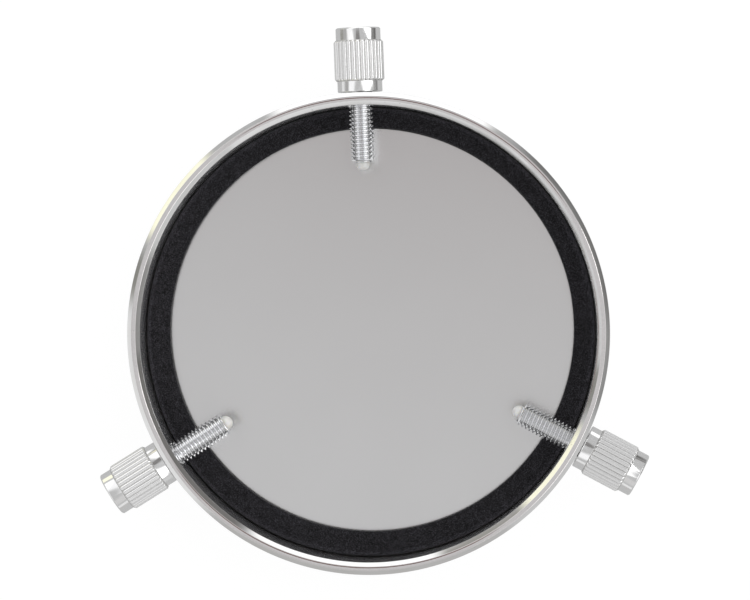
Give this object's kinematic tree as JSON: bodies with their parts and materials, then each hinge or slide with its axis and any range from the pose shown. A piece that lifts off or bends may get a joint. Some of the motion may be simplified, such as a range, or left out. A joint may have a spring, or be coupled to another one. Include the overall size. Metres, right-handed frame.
{
  "type": "telescope solar filter",
  "caption": "Round full-aperture solar filter: coated glass in a turned aluminium cell, felt seat ring and radial nylon-tipped thumbscrews that clamp a telescope tube.",
  "frame": {"origin": "centre of the front face, the sunward face that the cell rests on", "axes": "+Z along the optical axis from the front face to the open mouth that slides over the telescope; +Y towards the first thumbscrew"},
  "size_m": [0.1328, 0.1317, 0.027],
  "materials": {
    "machined_aluminium": "satin",
    "black_rubber": "matte",
    "coated_glass": "satin",
    "black_anodised": "matte",
    "black_felt": "matte",
    "knob_aluminium": "satin",
    "stud_steel": "polished",
    "white_nylon": "satin"
  },
  "bodies": {
    "cell": {"cell_ring": "machined_aluminium", "front_gasket": "black_rubber", "filter_glass": "coated_glass", "retaining_ring": "black_anodised", "felt_ring": "black_felt"},
    "tip_1": {"nylon_tip_1": "white_nylon"},
    "screw_1": {"knob_1": "knob_aluminium", "stud_1": "stud_steel"},
    "tip_2": {"nylon_tip_2": "white_nylon"},
    "screw_2": {"knob_2": "knob_aluminium", "stud_2": "stud_steel"},
    "tip_3": {"nylon_tip_3": "white_nylon"},
    "screw_3": {"knob_3": "knob_aluminium", "stud_3": "stud_steel"}
  },
  "joints": [
    {"name": "screw_travel_1", "type": "slide", "parent": "cell", "child": "tip_1", "axis": [0, 1, 0], "range_m": [0, 0.01401]},
    {"name": "screw_turn_1", "type": "hinge", "parent": "tip_1", "child": "screw_1", "pos_m": [0, 0.058, 0.019], "axis": [0, 1, 0], "range_deg": [0, 5040]},
    {"name": "screw_travel_2", "type": "slide", "parent": "cell", "child": "tip_2", "axis": [-0.866, -0.5, 0], "range_m": [0, 0.01401]},
    {"name": "screw_turn_2", "type": "hinge", "parent": "tip_2", "child": "screw_2", "pos_m": [-0.05023, -0.029, 0.019], "axis": [-0.866, -0.5, 0], "range_deg": [0, 5040]},
    {"name": "screw_travel_3", "type": "slide", "parent": "cell", "child": "tip_3", "axis": [0.866, -0.5, 0], "range_m": [0, 0.01401]},
    {"name": "screw_turn_3", "type": "hinge", "parent": "tip_3", "child": "screw_3", "pos_m": [0.05023, -0.029, 0.019], "axis": [0.866, -0.5, 0], "range_deg": [0, 5040]}
  ],
  "couplings": [
    {"joint": "screw_travel_1", "follows": "screw_turn_1", "m_per_rad": 0.00015915},
    {"joint": "screw_travel_2", "follows": "screw_turn_2", "m_per_rad": 0.00015915},
    {"joint": "screw_travel_3", "follows": "screw_turn_3", "m_per_rad": 0.00015915}
  ]
}
